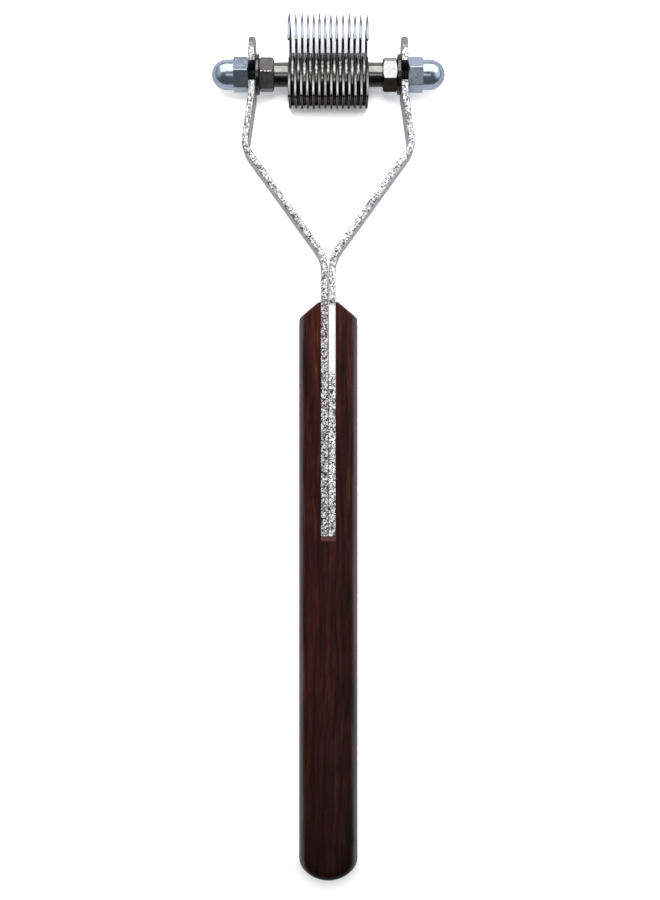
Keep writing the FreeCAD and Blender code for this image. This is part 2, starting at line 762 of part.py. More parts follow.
def make_cap_nut(label, side, turn):
    """side is +1 with the dome towards +X and -1 with it towards -X."""
    body = new_body(label)
    hex_prism(body, label, cell("cap_hex"), both_ends=False)

    # neck and dome have one radius
    sketch = sketch_on(body, "XZ_Plane", label + "_dome_profile")
    height, radius = cell("cap_height").value, cell("cap_dome").value
    neck = height - radius
    slant = radius * COS_45
    chain(sketch, [(DOME_START, 0), (DOME_START, radius), (neck, radius)])
    arc(sketch, (neck, radius), (neck + slant, slant), (height, 0))
    chain(sketch, [(height, 0), (DOME_START, 0)])
    constrain(sketch, "Radius", 2, length=cell("cap_dome"))
    spin(body, sketch, label + "_dome")

    # blind bore with a drilled point
    sketch = sketch_on(body, "XZ_Plane", label + "_blind_profile")
    bore, depth = cell("nut_bore").value, cell("cap_bore_depth").value
    profile = [
        (-MOUTH_BEFORE, 0.0),
        (-MOUTH_BEFORE, bore + MOUTH_WIDEN),
        (MOUTH_DEPTH, bore),
        (depth, bore),
        (depth + DRILL_POINT, 0.0),
    ]
    polygon(sketch, profile)
    spin(body, sketch, label + "_blind_thread", cut=True)

    start = cell("cap_start")
    rotation = FreeCAD.Rotation(V(1, 0, 0), turn)
    if side < 0:
        rotation = rotation.multiply(FreeCAD.Rotation(V(0, 0, 1), 180))
    place(body, start if side > 0 else -start, rotation=rotation)


# ---------------------------------------------------------------------------------------------------------
# Washers, distance tubes and spacers
# ---------------------------------------------------------------------------------------------------------
def make_ring(label, x, outer, bore, thickness, centre_y=0.0):
    """A disc or tube from x towards +X, its outer rims chamfered; centre_y shifts its outside only."""
    body = new_body(label)
    sketch = sketch_on(body, "YZ_Plane", label + "_section")
    centre_y = size(centre_y)
    circle(sketch, centre_y, 0, outer)
    circle(sketch, 0, 0, bore)
    pad(body, sketch, thickness, label + "_disc")

    def on_rim(point):
        return near(math.hypot(point.y - centre_y.value, point.z), outer.value, 1e-3)

    rims = [name for name in edges_where(body, on_rim) if edge_of(body, name).Closed]
    chamfer(body, rims, cell("edge_break"), label + "_broken_edges")
    place(body, x)


# ---------------------------------------------------------------------------------------------------------
# Blades: a sickle stamped from sheet. Each row is a point about the axle hole: forward, up. The outline
# climbs from the throat over the hub to a horn at the rear, goes straight down the rear, under the belly
# and up the outside of the hook to its point. The inner edge comes back from the point to the throat,
# toothed for its first stretch.
# ---------------------------------------------------------------------------------------------------------
HUB = [(3.85, 0.6), (3.35, 2.6), (1.4, 5.1), (-1.4, 7.1), (-4.0, 8.15), (-6.15, 8.55)]
OUTER = [
    (-6.62, -4.9), (-5.75, -7.0), (-3.4, -8.75), (0.3, -9.75), (4.9, -9.6), (9.2, -7.4),
    (12.1, -3.5), (13.16, 1.0), (12.5, 5.0), (10.3, 8.1), (6.7, 9.85),
]
POINT = [OUTER[-1], (5.85, 9.93), (5.45, 9.6), (5.62, 9.15)]
TEETH_END = (8.9, -2.5)
INNER = [
    POINT[-1], (8.2, 7.3), (9.6, 4.4), (9.8, 1.0), TEETH_END,
    (7.1, -4.8), (5.5, -5.1), (4.4, -3.6), (4.0, -1.4), HUB[0],
]
HORN_RADIUS = 0.47
TEETH = 11
TOOTH_DEPTH = 0.34
VALLEY_SHARE = 0.62  # where a tooth's valley lies along it
HOOK_MIDDLE = V(5.0, 2.5, 0)  # a point in the opening of the hook


def through(points):
    curve = Part.BSplineCurve()
    curve.interpolate([at(point) for point in points])
    return curve


inner_curve = through(INNER)
teeth_start_u = inner_curve.FirstParameter
teeth_end_u = inner_curve.parameter(at(TEETH_END))


def tooth_points():
    """Saw-tooth corners along the toothed stretch: valleys are cut into the blade from the inner edge."""
    points = []
    for k in range(TEETH + 1):
        u = teeth_start_u + (teeth_end_u - teeth_start_u) * k / TEETH
        points.append(inner_curve.value(u))
        if k < TEETH:
            u = teeth_start_u + (teeth_end_u - teeth_start_u) * (k + VALLEY_SHARE) / TEETH
            valley, along = inner_curve.value(u), inner_curve.tangent(u)[0]
            into_blade = V(-along.y, along.x, 0)
            if into_blade.dot(HOOK_MIDDLE - valley) > 0:
                into_blade = into_blade * -1
            points.append(valley + into_blade * TOOTH_DEPTH)
    return points


def make_blade(label, position):
    """position counts blades from the middle plane, in pitches."""
    body = new_body(label)
    sketch = sketch_on(body, "YZ_Plane", label + "_profile")
    sketch.addGeometry(through(HUB), False)
    rear_y, horn_z = OUTER[0][0], HUB[-1][1]
    horn_inset = HORN_RADIUS * (1 - COS_45)
    horn_end = (rear_y, horn_z - HORN_RADIUS)
    arc(sketch, HUB[-1], (rear_y + horn_inset, horn_z - horn_inset), horn_end)
    chain(sketch, [horn_end, OUTER[0]])
    sketch.addGeometry(through(OUTER), False)
    chain(sketch, POINT)
    chain(sketch, tooth_points())
    smooth = inner_curve.copy()
    smooth.segment(teeth_end_u, inner_curve.LastParameter)
    sketch.addGeometry(smooth, False)
    circle(sketch, 0, 0, cell("blade_hole"))
    pad(body, sketch, cell("blade_thickness"), label + "_plate", both_sides=True)
    place(body, cell("blade_pitch") * position)


def make_spacer(label, position):
    """Fills the gap between two blades; position counts from the middle plane, in pitches."""
    thickness = cell("blade_pitch") - cell("blade_thickness")
    x = cell("blade_pitch") * position - thickness / 2
    radius, bore = cell("spacer_radius"), cell("spacer_bore")
    make_ring(label, x, radius, bore, thickness, centre_y=-cell("spacer_offset"))


# ---------------------------------------------------------------------------------------------------------
# Build all the pieces
# ---------------------------------------------------------------------------------------------------------
make_handle()
make_arm("left_arm", -1)
make_arm("right_arm", 1)
make_filler()
make_pin("front_handle_pin", "front_pin")
make_pin("rear_handle_pin", "rear_pin")
make_axle()

# the nuts are turned by different angles, in degrees
make_cap_nut("left_cap_nut", -1, turn=-4.5)
make_cap_nut("right_cap_nut", 1, turn=-14.0)

pack_half = cell("blade_pitch") * ((BLADES - 1) / 2) + cell("blade_thickness") / 2
bush_length = cell("bush_length")
nut_x = pack_half + bush_length
make_lock_nut("left_lock_nut", -nut_x - cell("nut_height"), turn=0.5)
make_lock_nut("right_lock_nut", nut_x, turn=22.5)

washer_x, washer_thickness = cell("washer_start"), cell("washer_thickness")
for label, x in (("left_washer", -washer_x - washer_thickness), ("right_washer", washer_x)):
    make_ring(label, x, cell("washer_radius"), cell("washer_bore"), washer_thickness)
for label, x in (("left_bush", -pack_half - bush_length), ("right_bush", pack_half)):
    make_ring(label, x, cell("bush_radius"), cell("bush_bore"), bush_length)

for k in range(BLADES):
    make_blade("blade_%02d" % (k + 1), k - (BLADES - 1) / 2)
for k in range(BLADES - 1):
    make_spacer("spacer_%02d" % (k + 1), k - (BLADES - 2) / 2)

# ---------------------------------------------------------------------------------------------------------
# Check everything, then write one file per piece
# ---------------------------------------------------------------------------------------------------------
doc.recompute()
for obj in doc.Objects:
    if {"Invalid", "Error"} & set(obj.State):
        raise RuntimeError("%s is in state %s" % (obj.Name, obj.State))
for body in bodies:
    shape = body.Shape
    if shape.isNull() or not shape.isValid() or len(shape.Solids) != 1:
        raise RuntimeError("%s has no single valid solid" % body.Label)

os.makedirs("parts", exist_ok=True)
for body in bodies:
    body.Shape.exportStep("parts/%s.step" % body.Label)
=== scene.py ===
"""A cutter with a row of fourteen hooked blades on a threaded axle, held by two strips in a wooden handle.

It lies on a white floor with its handle along Y, the blades at the +Y end and the axle along X. Z is up.
"""

import math

import bmesh
import bpy
import numpy as np
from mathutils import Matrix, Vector, geometry


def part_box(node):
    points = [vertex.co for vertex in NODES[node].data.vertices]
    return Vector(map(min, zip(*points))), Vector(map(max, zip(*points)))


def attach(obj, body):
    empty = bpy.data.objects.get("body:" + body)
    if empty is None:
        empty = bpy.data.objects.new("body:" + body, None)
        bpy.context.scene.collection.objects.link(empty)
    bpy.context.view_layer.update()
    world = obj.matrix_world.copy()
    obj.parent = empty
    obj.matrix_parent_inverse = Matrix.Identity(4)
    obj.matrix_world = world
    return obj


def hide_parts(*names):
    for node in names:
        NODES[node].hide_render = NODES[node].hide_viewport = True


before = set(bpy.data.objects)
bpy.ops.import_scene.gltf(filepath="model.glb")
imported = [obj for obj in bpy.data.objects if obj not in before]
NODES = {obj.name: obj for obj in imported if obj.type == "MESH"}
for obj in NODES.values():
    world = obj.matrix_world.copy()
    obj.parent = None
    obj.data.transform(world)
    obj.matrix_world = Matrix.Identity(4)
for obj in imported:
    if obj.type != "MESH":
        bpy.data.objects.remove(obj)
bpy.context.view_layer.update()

MM = 0.001


def box_middle(node):
    low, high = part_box(node)
    return (low + high) / 2


axle_low, axle_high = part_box("axle")
AXLE = Vector((0.0, (axle_low.y + axle_high.y) / 2, (axle_low.z + axle_high.z) / 2))
handle_low, handle_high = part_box("handle")
HANDLE_MIDDLE_Z = (handle_low.z + handle_high.z) / 2 / MM


# ---------------------------------------------------------------------------------------------
# Node helpers. Texture places are in millimetres, and noise and cell scales are per millimetre.
# ---------------------------------------------------------------------------------------------
class Value:
    """One output of a node. Its operators and methods feed it to further nodes."""

    def __init__(self, graph, socket):
        self.graph, self.socket = graph, socket

    def sibling(self, output):
        """Another output of the same node."""
        return Value(self.graph, self.socket.node.outputs[output])

    def math(self, operation, other=0.0):
        return self.graph.math(operation, self, other)

    def __add__(self, other):
        return self.math("ADD", other)

    def __sub__(self, other):
        return self.math("SUBTRACT", other)

    def __rsub__(self, other):
        return self.graph.math("SUBTRACT", other, self)

    def __mul__(self, other):
        return self.math("MULTIPLY", other)

    def __truediv__(self, other):
        return self.math("DIVIDE", other)

    def __pow__(self, other):
        return self.math("POWER", other)

    def __abs__(self):
        return self.math("ABSOLUTE")

    def at_least(self, other):
        return self.math("MAXIMUM", other)

    def vector(self, operation, *others, output="Vector"):
        """Vector maths on this and any other vectors."""
        inputs = dict(enumerate((self, *others)))
        return self.graph.add("VectorMath", inputs, output, operation=operation)

    def scaled(self, factor):
        inputs = {0: self, "Scale": factor}
        return self.graph.add("VectorMath", inputs, "Vector", operation="SCALE")

    def split(self):
        first = self.graph.add("SeparateXYZ", {0: self})
        return {axis: first.sibling(axis) for axis in "XYZ"}

    def fit(self, start, end, to=(0.0, 1.0), curve="LINEAR"):
        """Takes the range start..end to the range in to, clamped."""
        ends = {"From Min": start, "From Max": end, "To Min": to[0], "To Max": to[1]}
        return self.graph.add("MapRange", {"Value": self, **ends}, interpolation_type=curve)

    def ease(self, start, end, to=(0.0, 1.0)):
        """As fit, with soft ends."""
        return self.fit(start, end, to, "SMOOTHSTEP")

    def noise(self, detail, rough=0.55, distortion=0.0, output="Fac"):
        inputs = {"Vector": self, "Scale": 1.0, "Detail": detail}
        inputs |= {"Roughness": rough, "Distortion": distortion}
        return self.graph.add("TexNoise", inputs, output)

    def cells(self, scale=1.0, output="Distance"):
        return self.graph.add("TexVoronoi", {"Vector": self, "Scale": scale}, output)

    def ramp(self, stops):
        """Colours, or grey levels, at the stops' positions."""
        value = self.graph.add("ValToRGB", {0: self})
        elements = value.socket.node.color_ramp.elements
        while len(elements) < len(stops):
            elements.new(0.5)
        for element, (position, colour) in zip(elements, stops):
            element.position = position
            element.color = (*(colour if isinstance(colour, tuple) else (colour,) * 3), 1.0)
        return value

    def mix(self, first, second):
        """The first colour where this is 0, the second where it is 1."""
        return self.graph.add("Mix", {0: self, 6: first, 7: second}, 2, data_type="RGBA")

    def bump(self, distance, strength, normal=None):
        """The normal for this height; distance is in millimetres."""
        inputs = {"Strength": strength, "Distance": distance * MM, "Height": self}
        if normal is not None:
            inputs["Normal"] = normal
        return self.graph.add("Bump", inputs)


class Graph:
    """The node tree of a material or world, emptied but for an output node."""

    def __init__(self, owner, output):
        owner.use_nodes = True
        self.tree = owner.node_tree
        self.tree.nodes.clear()
        self.output = self.tree.nodes.new(output)

    def feed(self, socket, value):
        if isinstance(value, Value):
            self.tree.links.new(value.socket, socket)
        elif isinstance(value, tuple) and socket.type == "RGBA":
            socket.default_value = (*value, 1.0)
        else:
            socket.default_value = value

    def add(self, kind, inputs, output=0, **properties):
        """Adds a node, feeds its inputs and returns one of its outputs."""
        node = self.tree.nodes.new("ShaderNode" + kind)
        for key, value in properties.items():
            setattr(node, key, value)
        for key, value in inputs.items():
            self.feed(node.inputs[key], value)
        return Value(self, node.outputs[output])

    def finish_with(self, shader):
        self.feed(self.output.inputs[0], shader)

    def math(self, operation, first, second):
        return self.add("Math", {0: first, 1: second}, operation=operation)

    def mm(self, scale=1.0, turn=(0, 0, 0), shift=(0, 0, 0)):
        """Object coordinates in millimetres, turned (degrees), then scaled and shifted."""
        if not isinstance(scale, tuple):
            scale = (scale,) * 3
        place = self.add("TexCoord", {}, "Object")
        place = self.add("Mapping", {"Vector": place, "Scale": (1000, 1000, 1000)})
        angles = tuple(math.radians(t) for t in turn)
        place = self.add("Mapping", {"Vector": place, "Rotation": angles})
        return self.add("Mapping", {"Vector": place, "Scale": scale, "Location": shift})

    def mm_from_axle(self):
        return self.mm(shift=(0, -AXLE.y * 1000, -AXLE.z * 1000))

    def normal(self):
        return self.add("NewGeometry", {}, "Normal")


class Surface(Graph):
    """A material with a Principled shader."""

    def __init__(self, name):
        self.material = bpy.data.materials.new(name)
        super().__init__(self.material, "ShaderNodeOutputMaterial")
        shader = self.add("BsdfPrincipled", {})
        self.inputs = shader.socket.node.inputs
        self.finish_with(shader)

    def set(self, name, value):
        self.feed(self.inputs[name], value)

    def finish(self, colour, roughness, normal, metallic=0.0):
        self.set("Base Color", colour)
        self.set("Metallic", metallic)
        self.set("Roughness", roughness)
        self.set("Normal", normal)
        return self.material

    def tipped(self, amount):
        """The normal, tipped along Y at random from one thin piece to the next."""
        random = self.mm((2.3, 0.16, 0.16), shift=(5, 2, 7)).noise(detail=1.0, rough=0.5)
        tip = self.add("CombineXYZ", {"Y": (random - 0.5) * (2.0 * amount)})
        return self.normal().vector("ADD", tip).vector("NORMALIZE")

    def facets(self, place, scale, amount):
        """The normal, tilted at random from cell to cell, which makes crystals sparkle."""
        random = place.cells(scale, "Color").vector("SUBTRACT", (0.5, 0.5, 0.5))
        tilt = random.scaled(amount)
        return self.normal().vector("ADD", tilt).vector("NORMALIZE")

    def shade_side(self, mottle, uneven, start, end):
        """1 on the side towards the handle, 0 elsewhere, with an uneven border: the mask of painted shade
        where the surface faces away from the light.
        """
        return (self.normal().split()["Y"] + (mottle - 0.5) * uneven).ease(start, end)


# ---------------------------------------------------------------------------------------------
# Wood
# ---------------------------------------------------------------------------------------------
def wood():
    mat = Surface("handle_wood")
    wander = mat.mm((0.10, 0.018, 0.10)).noise(detail=2.0, rough=0.5, output="Color")
    push = wander.vector("SUBTRACT", (0.5, 0.5, 0.5)).vector("MULTIPLY", (5.0, 0.0, 5.0))
    along = mat.mm().vector("ADD", push)

    def stretched(scale, detail, rough=0.6):
        return along.vector("MULTIPLY", scale).noise(detail, rough)

    figure = stretched((0.30, 0.010, 0.22), detail=3.0)
    streaks = stretched((1.25, 0.045, 1.0), detail=5.0, rough=0.62)
    fibre = stretched((3.6, 0.20, 3.0), detail=5.0, rough=0.72)
    tone = (figure * 0.26 + streaks * 0.40 + fibre * 0.34).fit(0.410, 0.600)
    colour = tone.ramp([
        (0.0, (0.0068, 0.0022, 0.0018)),
        (0.26, (0.0135, 0.0034, 0.0024)),
        (0.50, (0.0250, 0.0054, 0.0036)),
        (0.74, (0.0410, 0.0086, 0.0056)),
        (1.0, (0.0600, 0.0190, 0.0130)),
    ])
    # paler towards the +Y end
    where = mat.mm().split()
    light = where["Y"].fit(-96.0, 32.0)
    light = light.ramp([(0.03, 0.14), (0.24, 0.28), (0.52, 0.345), (0.75, 0.40), (0.95, 0.71)])
    colour = colour.vector("MULTIPLY", light).scaled(1.6)
    # redder on the left, greyer on the right
    tint = where["X"].ease(-4.0, 4.0).mix((1.10, 0.90, 0.80), (1.0, 1.10, 1.16))
    colour = colour.vector("MULTIPLY", tint)
    # open pores: short dark dashes along the grain
    pore = along.vector("MULTIPLY", (3.1, 0.28, 2.6)).cells().ease(0.10, 0.24, to=(1.0, 0.0))
    pore = pore * stretched((0.5, 0.03, 0.4), detail=2.0).fit(0.42, 0.62)
    colour = (pore * 0.75).mix(colour, (0.0035, 0.0014, 0.0012))
    # a few pores are filled with pale dust
    dust = along.vector("MULTIPLY", (0.9, 0.16, 0.9)).cells()
    dust = dust.fit(0.035, 0.075, to=(1.0, 0.0)) * fibre.fit(0.50, 0.60)
    colour = (dust * 0.55).mix(colour, (0.10, 0.055, 0.040))
    # the rounded long edges carry a painted reflection, greyish, and are shinier
    facing = mat.normal().split()
    side = abs(facing["X"]) + facing["Y"].at_least(0.0) * 0.7
    painted_sheen = (side + (streaks - 0.5) * 0.5).ease(0.42, 0.98)
    off_middle = abs(where["Z"] - HANDLE_MIDDLE_Z)
    painted_sheen = painted_sheen * off_middle.ease(HANDLE_MIDDLE_Z - 2.6, HANDLE_MIDDLE_Z - 1.5)
    colour = (painted_sheen * 0.85).mix(colour, (0.125, 0.098, 0.102))
    mat.set("IOR", 1.42)
    mat.set("Specular IOR Level", painted_sheen.fit(0.0, 1.0, to=(0.16, 0.5)))
    return mat.finish(
        colour=colour,
        roughness=(streaks + fibre * 0.5).fit(0.5, 1.0, to=(0.34, 0.50)),
        normal=(fibre * 0.35 - pore).bump(distance=0.022, strength=0.55),
    )


def filler():
    mat = Surface("filler_wood")
    grain = mat.mm((3.0, 1.0, 3.0)).noise(detail=5.0, rough=0.65)
    return mat.finish(
        colour=grain.ramp([(0.3, (0.030, 0.010, 0.007)), (0.7, (0.085, 0.034, 0.022))]),
        roughness=grain.fit(0.3, 0.7, to=(0.55, 0.8)),
        normal=mat.mm(5).noise(detail=4.0).bump(distance=0.05, strength=0.7),
    )


# ---------------------------------------------------------------------------------------------
# Metals of the holder
# ---------------------------------------------------------------------------------------------
def strip(name, tone, inside_tone, smooth_patch):
    """Galvanised strip. Its edges are coarse and sparkle. inside_tone darkens the part inside
    the handle; smooth_patch calms the edge where the strip enters the slot."""
    mat = Surface(name)
    place = mat.mm()
    where = place.split()
    broad = mat.mm(0.35).noise(detail=3.0)
    grit = mat.mm(3.9).noise(detail=3.0, rough=0.8)
    spark = place.cells(3.9, "Color").split()["X"]
    mottle = mat.mm((1.0, 0.6, 1.0)).noise(detail=4.0, rough=0.65)
    amount = spark * 0.42 + grit * 0.36 + mottle * 0.22
    shades = [(0.395, (0.05, 0.05, 0.052)), (0.468, (0.54, 0.545, 0.54)), (0.535, (1.0, 1.0, 0.985))]
    base = amount.ramp([(at, tuple(min(1.0, c * tone) for c in shade)) for at, shade in shades])
    calm = where["Y"].fit(29.0, 36.0, to=(0.0, 0.25))
    if not smooth_patch:
        calm = calm + where["Y"].fit(64.0, 72.0, to=(0.0, 0.30))
    calm = broad.fit(0.30, 0.65) * calm
    base = calm.mix(base, (0.57 * tone, 0.57 * tone, 0.58 * tone))
    roughness = (grit + broad * 0.5).fit(0.5, 1.0, to=(0.28, 0.48))
    # the broad faces are smooth, with the large faint crystals of a zinc coat
    plain = mat.normal()
    coarse = abs(plain.split()["Z"]).ease(0.35, 0.75)
    crystals = mat.mm(0.55).cells(output="Color").split()["X"]
    face = (crystals * 0.5 + mottle * 0.5).ramp(
        [(0.25, (0.46, 0.465, 0.475)), (0.75, (0.66, 0.665, 0.67))]
    )
    base = coarse.mix(face, base)
    sanded = mat.mm((5.0, 1.2, 5.0), turn=(0, 0, 38)).noise(detail=3.0, rough=0.6)
    base = base.scaled(where["Y"].ease(28.0, 34.0, to=(inside_tone, 1.0)))
    # painted shade: the rounded ends beyond the axle, which curve away from the light, are darker
    end = plain.split()["Y"].ease(0.22, 0.50) * where["Y"].fit(86.0, 88.0)
    base = (end * 0.85).mix(base, (0.23, 0.23, 0.26))
    sparkle = mat.facets(place, scale=3.9, amount=coarse * 0.50)
    if smooth_patch:
        patch = where["Y"].ease(15.0, 17.5) * where["Y"].ease(30.6, 31.6, to=(1.0, 0.0))
        base = patch.mix(base, (0.97, 0.97, 1.0))
        roughness = roughness + patch * 0.14
        flatten = plain.scaled(patch * 5.0)
        sparkle = sparkle.vector("ADD", flatten).vector("NORMALIZE")
    height = grit * 0.6 + sanded * 0.4
    return mat.finish(
        colour=base,
        metallic=0.8,
        roughness=roughness,
        normal=height.bump(distance=0.035, strength=0.6, normal=sparkle),
    )


def zinc():
    """Bluish zinc plate of the cap nuts."""
    mat = Surface("cap_nut_zinc")
    mottle = mat.mm(1.1).noise(detail=4.0, rough=0.6, distortion=0.4)
    fine = mat.mm(5.0).noise(detail=3.0, rough=0.6)
    colour = mottle.ramp(
        [(0.30, (0.34, 0.44, 0.51)), (0.52, (0.43, 0.53, 0.62)), (0.72, (0.53, 0.59, 0.73))]
    )
    # painted reflection: paler where it faces along Y, most of all towards +Y
    facing = mat.normal().split()
    pale = abs(facing["Y"]).ease(0.60, 0.86, to=(0.0, 0.75))
    pale = pale.at_least(facing["Y"].ease(0.62, 0.70, to=(0.0, 0.85)))
    cloud = mat.mm(1.9, shift=(4, 9, 2)).noise(detail=4.0, rough=0.65, distortion=0.5)
    clouded = cloud.ramp([(0.36, (0.47, 0.57, 0.69)), (0.62, (0.70, 0.76, 0.93))])
    scratches = mat.mm((0.8, 9.0, 9.0), turn=(0, 0, 12)).noise(detail=2.0, rough=0.5)
    # the flats of the hexagon are slightly pitted, the dome isn't
    pitted = abs(facing["X"]).ease(0.30, 0.05, to=(0.0, 2.6))
    height = fine * 0.5 + scratches * 0.5 + cloud * pitted
    return mat.finish(
        colour=pale.mix(colour, clouded),
        metallic=0.94,
        roughness=(mottle + fine).fit(0.75, 1.25, to=(0.12, 0.25)),
        normal=height.bump(distance=0.012, strength=0.5),
    )


def steel(name, dark, light, rough, turned=0.0, metallic=1.0, stain=None, bump=0.012,
          painted_shade=None, painted_sheen=None, edge=1.0):
    """Machined steel.

    dark, light: its colours; rough: its range of roughness; bump: relief in millimetres
    turned: share of the relief that is fine rings round the X axis
    stain: colour of scattered spots
    dirt: colour of painted shade on the side towards the handle, which faces away from the light
    worn: colour of painted highlight spots where the surface faces little along Y
    edge: below 1, dulls it where it is seen at a grazing angle
    """
    mat = Surface(name)
    mottle = mat.mm(0.9).noise(detail=4.0, rough=0.6)
    fine = mat.mm(6.0).noise(detail=3.0, rough=0.6)
    colour = mottle.fit(0.3, 0.7).mix(dark, light)
    if stain:
        spots = mat.mm((0.7, 1.3, 0.9), shift=(7, 3, 1)).noise(detail=3.0).fit(0.54, 0.70)
        colour = (spots * 0.6).mix(colour, stain)
    if painted_shade:
        # painted shade on the side that faces away from the light
        shade_side = mat.shade_side(mottle, uneven=0.25, start=-0.25, end=-0.62)
        colour = (shade_side * 0.9).mix(colour, painted_shade)
    if painted_sheen:
        # painted highlight: pale spots where the surface faces little along Y, as along the corners
        # between flats
        across = abs(mat.normal().split()["Y"])
        painted_glint = mat.mm(1.5, shift=(2, 5, 1)).noise(detail=3.0, rough=0.6).ease(0.44, 0.54)
        painted_glint = painted_glint * across.ease(0.47, 0.38)
        colour = painted_glint.mix(colour, painted_sheen)
        metallic = painted_glint.fit(0.0, 1.0, to=(metallic, 1.0))
    mat.set("Specular Tint", (edge, edge, edge))
    height = fine
    if turned:
        rings = mat.mm((14.0, 0.5, 0.5)).noise(detail=2.0, rough=0.5)
        height = fine * (1.0 - turned) + rings * turned
    return mat.finish(
        colour=colour,
        metallic=metallic,
        roughness=(mottle + fine).fit(0.75, 1.25, to=rough),
        normal=height.bump(distance=bump, strength=0.5),
    )


def brass():
    mat = Surface("pin_brass")
    sanded = mat.mm((4.0, 12.0, 1.0), turn=(25, 0, 0)).noise(detail=3.0, rough=0.6)
    return mat.finish(
        colour=sanded.ramp([(0.3, (0.42, 0.27, 0.10)), (0.7, (0.66, 0.47, 0.20))]),
        metallic=1.0,
        roughness=sanded.fit(0.3, 0.7, to=(0.28, 0.45)),
        normal=sanded.bump(distance=0.012, strength=0.6),
    )


def spacer():
    """Spacer rims, with a painted highlight along the middle, and painted shade beside the blades and on
    the side towards the handle."""
    start = box_middle_x("spacer_01")
    pitch = abs(box_middle_x("spacer_02") - start)
    mat = Surface("spacer_steel")
    place = mat.mm()
    mottle = mat.mm((0.9, 1.6, 0.9)).noise(detail=4.0, rough=0.6)
    fine = mat.mm((9.0, 3.0, 3.0)).noise(detail=3.0, rough=0.6)
    # distance from the middle of the nearest spacer; the whole 40 keeps the fraction positive
    wave = ((place.split()["X"] - start) / pitch + 40.5).math("FRACT")
    off_middle = abs(wave - 0.5) * pitch + (mottle - 0.5) * 0.85
    # painted highlight along the middle of each rim, painted shade at its sides beside the blades
    painted_glint = off_middle.ease(0.05, 0.25, to=(1.0, 0.0))
    # painted shade on the side towards the handle
    shade_side = mat.shade_side(mottle, uneven=0.3, start=-0.15, end=-0.55)
    colour = painted_glint.mix((0.064, 0.058, 0.052), (0.40, 0.395, 0.38))
    mat.set("Specular Tint", shade_side.mix((1.0, 1.0, 1.0), (0.34, 0.31, 0.29)))
    return mat.finish(
        colour=(shade_side * 0.92).mix(colour, (0.034, 0.031, 0.029)),
        metallic=1.0,
        roughness=(mottle + fine).fit(0.75, 1.25, to=(0.16, 0.30)),
        normal=fine.bump(distance=0.012, strength=0.5, normal=mat.tipped(0.26)),
    )


def box_middle_x(node):
    """The middle of a node's box along X, in millimetres."""
    low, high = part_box(node)
    return (low.x + high.x) / 2 / MM


# ---------------------------------------------------------------------------------------------
# Metals of the blades
# ---------------------------------------------------------------------------------------------
def flank():
    """Sides of a blade: rolled sheet with faint marks across it, darker at the hub."""
    mat = Surface("blade_flank")
    place = mat.mm_from_axle()
    marks = mat.mm((0.4, 7.0, 1.2), turn=(35, 0, 0)).noise(detail=4.0, rough=0.65)
    mottle = mat.mm(0.6).noise(detail=3.0)
    base = marks.fit(0.3, 0.7).mix((0.33, 0.33, 0.35), (0.52, 0.52, 0.55))
    hub = place.split()["Y"].ease(4.0, 6.5, to=(0.8, 0.0))
    base = hub.mix(base, (0.10, 0.095, 0.092))
    return mat.finish(
        colour=mottle.fit(0.5, 0.8, to=(0.0, 0.35)).mix(base, (0.24, 0.22, 0.21)),
        metallic=1.0,
        roughness=marks.fit(0.3, 0.7, to=(0.26, 0.42)),
        normal=marks.bump(distance=0.012, strength=0.5),
    )


def hook():
    """The ground bevel outside a hook: bright at its lower end, duller towards the point."""
    mat = Surface("blade_hook_edge")
    place = mat.mm_from_axle()
    marks = mat.mm((6.0, 1.5, 1.5)).noise(detail=3.0, rough=0.6)
    tone = place.split()["Z"].ease(2.0, 8.0, to=(0.95, 0.50))
    base = marks.fit(0.3, 0.7).mix((0.56, 0.565, 0.66), (0.72, 0.73, 0.83))
    return mat.finish(
        colour=base.scaled(tone),
        metallic=1.0,
        roughness=marks.fit(0.3, 0.7, to=(0.28, 0.40)),
        normal=marks.bump(distance=0.006, strength=0.5),
    )


def hub_edge():
    """The edge over the hub: a painted highlight that is brightest near the horn and dim at the throat,
    with uneven dark stains.
    """
    mat = Surface("blade_hub_edge")
    place = mat.mm_from_axle()
    marks = mat.mm((2.5, 1.2, 1.2)).noise(detail=4.0, rough=0.65)
    # painted highlight: the edge's brightness is set by place along it
    bright = place.split()["Y"].fit(-7.0, 4.0).ramp(
        [(0.05, 0.18), (0.19, 0.92), (0.28, 0.92), (0.42, 0.45), (0.62, 0.26), (1.0, 0.20)]
    )
    base = marks.fit(0.3, 0.7).mix((0.36, 0.36, 0.355), (0.58, 0.575, 0.57))
    uneven = mat.mm((2.9, 0.42, 0.42), shift=(1, 6, 3)).noise(detail=2.0, rough=0.5)
    base = uneven.ease(0.58, 0.40, to=(0.0, 0.72)).mix(base, (0.105, 0.094, 0.084))
    return mat.finish(
        colour=base.vector("MULTIPLY", bright),
        metallic=1.0,
        roughness=marks.fit(0.3, 0.7, to=(0.18, 0.30)),
        normal=marks.bump(distance=0.006, strength=0.5, normal=mat.tipped(0.16)),
    )


